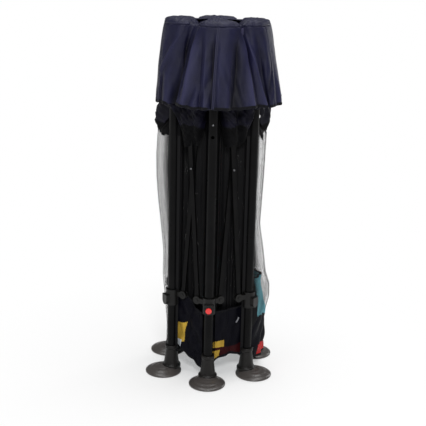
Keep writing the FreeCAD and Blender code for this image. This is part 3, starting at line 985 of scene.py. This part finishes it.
def make_band(leg):
    """The cloth at the top of a side's wall, drawn round the legs' outsides, but behind the front leg.

    Its lower part is gathered netting. Near the legs it ends higher, where the open frame's sliders stop.
    """
    a, b = grid(130, 60)
    snug = lobe(0.021, 0.020, 0, 30, 60)
    behind = [(0.013, 0.002), (0.018, 0.003), (0.026, 0.006)]
    reach = BAND_REACH[leg]
    between = [(0.040, reach), (0.062, reach * 0.92), (0.084, reach)]
    first = behind if leg == 1 else snug
    last = mirrored(behind if next_leg(leg) == 1 else snug)
    s, n = np.moveaxis(through(first + between + last, a), -1, 0)
    from_leg = np.minimum(a, 1 - a)
    by_leg = 1 - smooth((from_leg - 0.20) / 0.20)
    edge = BAND_EDGE[leg] + (BAND_LEG_EDGE - BAND_EDGE[leg]) * by_leg
    ragged = 0.008 * b * (1 - by_leg) * ripples(a * 0.16, a * 0, SEED["band hem"] + leg, 0.13)
    z = BAND_TOP + (edge - BAND_TOP) * b + ragged
    fold = ripples(s, z * 0.4, SEED["band fold"] + leg, 0.036, drift=0.5) * 0.0062
    fold += ripples(s, z, SEED["band ripple"] + leg, 0.016, drift=1.2) * 0.0012
    fold *= smooth(from_leg / 0.08) * smooth(b / 0.3)
    snug_part = np.minimum(n, BAND_SNUG) * (0.6 + 0.4 * smooth(b / 0.5))
    full_part = np.maximum(n - BAND_SNUG, 0) * (0.1 + 0.9 * smooth((b - 0.12) / 0.35))
    turned_in = 0.010 * smooth((b - 0.75) / 0.25)
    n = snug_part + full_part + fold - turned_in
    uv = np.stack([spread(s) + n, z], axis=-1)
    # The band's darkened navy cloth is painted shade under the valance.
    band = sheet(f"wall_band_{leg}", side_points(leg, s, n, z), uv, SHADED_BAND_CLOTH)
    change = BAND_CHANGE + 0.006 * ripples(s, z * 0, SEED["band change"] + leg, 0.05)
    paint(band, [GATHERED_NET], (z < change)[1:, 1:])
    hang(band, BAND_THICKNESS)


# ---- floor rim, roof and floor cloth ----

# Each rim: heights of its lower and upper edge at even steps from leg to leg, and its reach outwards at
# bottom, middle and top. A patch: colour, first and last share across, lowest and highest height.
RIMS = {
    1: {
        "low": (0.024, 0.050, 0.062, 0.058, 0.044),
        "high": (0.190, 0.192, 0.194, 0.196, 0.200),
        "reach": (-0.008, -0.011, -0.014),
        "patches": [
            ("maroon", 0.24, 1.0, 0.0, 0.088),
            ("yellow", 0.06, 0.27, 0.0, 0.078),
            ("yellow", 0.10, 0.44, 0.087, 0.106),
        ],
    },
    2: {
        "low": (0.044, 0.040, 0.040, 0.044, 0.050),
        "high": (0.280, 0.278, 0.276, 0.274, 0.272),
        "reach": (0.046, 0.047, 0.030),
        "patches": [("red", 0.16, 1.0, 0.0, 0.076), ("sky", 0.16, 1.0, 0.164, 0.29)],
    },
    3: {
        "low": (0.050, 0.046, 0.048, 0.060, 0.050),
        "high": (0.200, 0.202, 0.198, 0.196, 0.200),
        "reach": (-0.004, -0.006, -0.010),
        "patches": [("yellow", 0.1, 0.5, 0.0, 0.12), ("sky", 0.5, 1.0, 0.10, 0.21)],
    },
    4: {
        "low": (0.050, 0.036, 0.034, 0.050, 0.060),
        "high": (0.190, 0.194, 0.190, 0.186, 0.190),
        "reach": (-0.004, -0.006, -0.010),
        "patches": [("red", 0.0, 0.6, 0.0, 0.10), ("white", 0.6, 1.0, 0.06, 0.13)],
    },
    5: {
        "low": (0.070, 0.064, 0.060, 0.060, 0.066),
        "high": (0.190, 0.184, 0.180, 0.190, 0.210),
        "reach": (0.008, 0.010, 0.006),
        "patches": [("sky", 0.2, 0.8, 0.0, 0.10)],
    },
    6: {
        "low": (0.072, 0.066, 0.044, 0.026, 0.032),
        "high": (0.226, 0.238, 0.205, 0.190, 0.188),
        "reach": (-0.009, -0.011, -0.014),
        "patches": [("yellow", 0.0, 0.30, 0.092, 0.150), ("white", 0.0, 0.22, 0.074, 0.098)],
    },
}
RIM_INSET = -0.002
RIM_EDGE_REACH = -0.015
RIM_THICKNESS = 0.0010
PATCH_SLANT = 0.9


def rim_colours(leg, across, z):
    """Names of the colour at each place: navy, darkened as painted shade, with patches whose edges slant a
    little.
    """
    names = np.full(across.shape, "navy", dtype="<U8")
    for colour, first, last, low, high in RIMS[leg]["patches"]:
        slant = across - PATCH_SLANT * (z - low)
        wave = z + 0.003 * np.sin(across * 11 + leg)
        inside = (across > first) & (slant < last) & (wave > low) & (wave < high)
        names[inside] = colour
    return names


def make_rim(leg):
    """The floor's upturned edge in colour blocks, slumped between two legs when folded."""
    rim = RIMS[leg]
    a, b = grid(130, 90)
    s = RIM_INSET + a * (SPACING - 2 * RIM_INSET)
    low, high = np.moveaxis(through(np.stack([rim["low"], rim["high"]], axis=-1), a), -1, 0)
    z = low + (high - low) * b
    belly = np.sin(math.pi * a) ** 0.5
    reach = np.interp(b, (0, 0.5, 1), rim["reach"])
    n = RIM_EDGE_REACH + (reach - RIM_EDGE_REACH) * belly
    n = n + ripples(s, z, SEED["rim slump"] + leg, 0.045, drift=0.7, count=5) * 0.0036 * belly
    points = side_points(leg, s, n, z)
    uv = np.stack([spread(s), z], axis=-1)
    names, cloths = zip(*PANEL_CLOTH.items())
    cloth = sheet(f"floor_rim_{leg}", points, uv, cloths[0])
    blocks = rim_colours(leg, cell_centres(a), cell_centres(z))
    paint(cloth, cloths[1:], np.vectorize(names.index)(blocks))
    hang(cloth, RIM_THICKNESS)
    for word, row, width in (("low", 0, 0.008), ("high", -1, 0.006)):
        make_binding(f"rim_binding_{word}_{leg}", leg, s[row], n[row], z[row], width, 0.0018)


TAB_THICKNESS = 0.0012


def make_tab(name, leg, place, size, tilt, material):
    """A short bowed strap end over a side's cloth. Place is (s, n, z), size is (width, length)."""
    across, b = grid(4, 16)
    wide = (across - 0.5) * size[0]
    long = (b - 0.5) * size[1]
    s = place[0] + wide * math.cos(tilt) + long * math.sin(tilt)
    n = place[1] + 0.0015 * np.sin(b * math.pi)
    z = place[2] - wide * math.sin(tilt) + long * math.cos(tilt)
    uv = np.stack([across * size[0], b * size[1]], axis=-1)
    hang(sheet(name, side_points(leg, s, n, z), uv, material), TAB_THICKNESS)


SHEET_HALF = 0.062
SHEET_GROWTH = 2 * GROWTH
SHEET_THICKNESS = 0.001
ROOF_INSET = -0.012
ROOF_LIFT = 0.012
ROOF_CROWN = 0.046
ROOF_BORDER_LIFT = 0.0105
FLOOR_INSET = 0.006
FLOOR_LIFT = 0.002
FLOOR_BORDER_LIFT = 0.022
FLOOR_MIDDLE_RADIUS = 0.26
FLOOR_COLOURS = ("navy", "yellow", "sky", "red")


def half_hexagon(inset):
    """Half of the open hexagon: x from its middle, y front to back, its middle's y, and way to its border."""
    a, b = grid(90, 70)
    x = b * (OPEN_RADIUS * math.cos(HALF_CORNER) - inset)
    front = AXIS[1].y + x * math.tan(HALF_CORNER) + inset
    back = AXIS[1].y + 2 * OPEN_RADIUS - x * math.tan(HALF_CORNER) - inset
    y = front + a * (back - front)
    border = np.minimum(np.minimum(y - front, back - y) * math.cos(HALF_CORNER), x.max() - x)
    return x, y, AXIS[1].y + OPEN_RADIUS, border


def folded_depth(y):
    """Front-to-back place of half-sheet cloth when folded."""
    return gather(y + SHEET_HALF, 2 * SHEET_HALF, SHEET_GROWTH) - SHEET_HALF


def spread_sheet(piece, body):
    """Cloth of one half that spans from the front body to the back one, with its place baked into its mesh;
    it stands for both nodes, which are hidden.
    """
    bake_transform(piece)
    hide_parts(body, f"{body}_edge")


def make_roof(word, side):
    """Half of the roof: it hangs inside the bundle when folded and crowns gently when open."""
    x, y, centre, border = half_hexagon(ROOF_INSET)
    away = np.hypot(x, y - centre) / OPEN_RADIUS
    crown = ROOF_CROWN * np.clip(1 - away, 0, 1) ** 0.8
    lift = ROOF_LIFT + crown + ROOF_BORDER_LIFT * (1 - smooth(border / 0.06))
    lift += ripples(y, x, SEED["roof"], 0.5, drift=0.6) * 0.0012
    points = np.stack([side * lift, folded_depth(y), ROOF_HINGE - x], axis=-1)
    uv = np.stack([x * side, y - centre], axis=-1)
    roof = sheet(f"roof_cloth_{word}", points, uv, CANOPY_CLOTH)
    thicken(roof, SHEET_THICKNESS)
    spread_sheet(roof, f"roof_{word}")


def make_floor(word, side):
    """Half of the floor cloth, in colour blocks: it stands inside the bundle when folded."""
    x, y, centre, border = half_hexagon(FLOOR_INSET)
    lift = FLOOR_LIFT + FLOOR_BORDER_LIFT * smooth(border / 0.08)
    lift += ripples(y, x, SEED["floor"], 0.22, drift=0.9) * 0.0010
    points = np.stack([side * lift, folded_depth(y), FLOOR_HINGE + x], axis=-1)
    uv = np.stack([x * side, y - centre], axis=-1)
    cloths = [PANEL_CLOTH[name] for name in FLOOR_COLOURS]
    cloth = sheet(f"floor_cloth_{word}", points, uv, cloths[0])
    mid_x = cell_centres(x) * side
    mid_y = cell_centres(y) - centre
    sector = np.floor(np.degrees(np.arctan2(mid_y, mid_x)) / 60) % 3
    paint(cloth, cloths[1:], np.where(np.hypot(mid_x, mid_y) < FLOOR_MIDDLE_RADIUS, 0, 1 + sector))
    thicken(cloth, SHEET_THICKNESS)
    spread_sheet(cloth, f"floor_{word}")


# ---- stage, light and camera ----

CAMERA_DISTANCE = 2.60
CAMERA_HEIGHT = 1.214
CAMERA_TURN = math.radians(2.19)
CAMERA_TILT = math.radians(16.27)
CAMERA_ROLL = math.radians(1.36)
CAMERA_LENS = 81.25
FLOOR_HALF = 30.0
FLOOR_DROP = 0.0005
SURROUND_LIGHT = 0.13
# Name, place, what it points at, size and power of each light.
LIGHTS = [
    ("Key", (0.30, -2.7, 2.3), (0, 0, 0.6), 0.6, 52),
    ("Fill", (-2.2, -1.8, 1.9), (0, 0, 0.5), 1.2, 7),
    ("Top", (0.1, 0.2, 3.0), (0, 0, 0.4), 2.4, 70),
    ("Rim", (1.9, 1.7, 1.1), (0, 0, 0.1), 0.8, 14),
]


def make_camera():
    """The photograph's view: from the front and a little above."""
    data = bpy.data.cameras.new("Camera")
    data.sensor_width = 36
    data.lens = CAMERA_LENS
    camera = add_object("Camera", data)
    x = CAMERA_DISTANCE * math.sin(CAMERA_TURN)
    y = -CAMERA_DISTANCE * math.cos(CAMERA_TURN)
    turn = (
        Matrix.Rotation(CAMERA_TURN, 4, "Z")
        @ Matrix.Rotation(math.pi / 2 - CAMERA_TILT, 4, "X")
        @ Matrix.Rotation(CAMERA_ROLL, 4, "Z")
    )
    camera.matrix_world = Matrix.Translation((x, y, CAMERA_HEIGHT)) @ turn
    bpy.context.scene.camera = camera


def area_light(name, place, aim, size, power):
    """A square area light, size metres wide, pointed at a place."""
    data = bpy.data.lights.new(name, "AREA")
    data.size = size
    data.energy = power
    light = add_object(name, data)
    light.location = place
    light.rotation_mode = "QUATERNION"
    light.rotation_quaternion = (Vector(aim) - Vector(place)).to_track_quat("-Z", "Y")


def make_stage():
    """A pale floor that fades into a white surround, and soft lights."""
    mesh = bpy.data.meshes.new("Floor")
    corners = [(x * FLOOR_HALF, y * FLOOR_HALF, 0) for x, y in ((-1, -1), (1, -1), (1, 1), (-1, 1))]
    mesh.from_pydata(corners, [], [(0, 1, 2, 3)])
    paper = Shader("Pale floor", (0.94, 0.94, 0.94), 0.9)
    paper.set(**{"Specular IOR Level": 0.1})
    away = paper.add("VectorMath", paper.place(), operation="LENGTH").outputs["Value"]
    glow = paper.add("Emission", (1, 1, 1, 1), 1.0)
    fade = paper.between(away, 0.10, 0.75, 0.35, 1.0)
    blend = paper.add("MixShader", fade, paper.surface.outputs[0], glow.outputs[0])
    paper.feed(paper.output.inputs["Surface"], blend.outputs[0])
    mesh.materials.append(paper.material)
    floor = add_object("Floor", mesh)
    floor.location.z = -FLOOR_DROP
    bpy.context.scene.view_settings.view_transform = "Standard"
    world = bpy.data.worlds.new("Studio")
    world.use_nodes = True
    tree = world.node_tree
    seen = tree.nodes.new("ShaderNodeLightPath").outputs["Is Camera Ray"]
    strength = tree.nodes.new("ShaderNodeMapRange")
    tree.links.new(seen, strength.inputs[0])
    strength.inputs["To Min"].default_value = SURROUND_LIGHT
    strength.inputs["To Max"].default_value = 1.0
    background = tree.nodes["Background"]
    background.inputs["Color"].default_value = (1, 1, 1, 1)
    tree.links.new(strength.outputs[0], background.inputs["Strength"])
    bpy.context.scene.world = world
    for light in LIGHTS:
        area_light(*light)


# ---- the whole scene ----

finish_cad_nodes()
make_rivets()
make_spring()
make_tab("strap_tab", 1, (0.092, -0.002, 0.166), (0.0045, 0.017), math.radians(30), STRAP)
make_tab("hanging_tab", 1, (0.062, 0.028, 0.971), (0.007, 0.022), math.radians(4), NAVY_TAPE)
for leg in LEGS:
    make_foot(leg)
    make_cap(leg)
    make_valance(leg)
    make_valance_return(leg)
    make_petal_seam(leg)
    make_band(leg)
    make_wall(leg)
    make_rim(leg)
for word, side in (("right", 1), ("left", -1)):
    make_roof(word, side)
    make_floor(word, side)
make_camera()
make_stage()
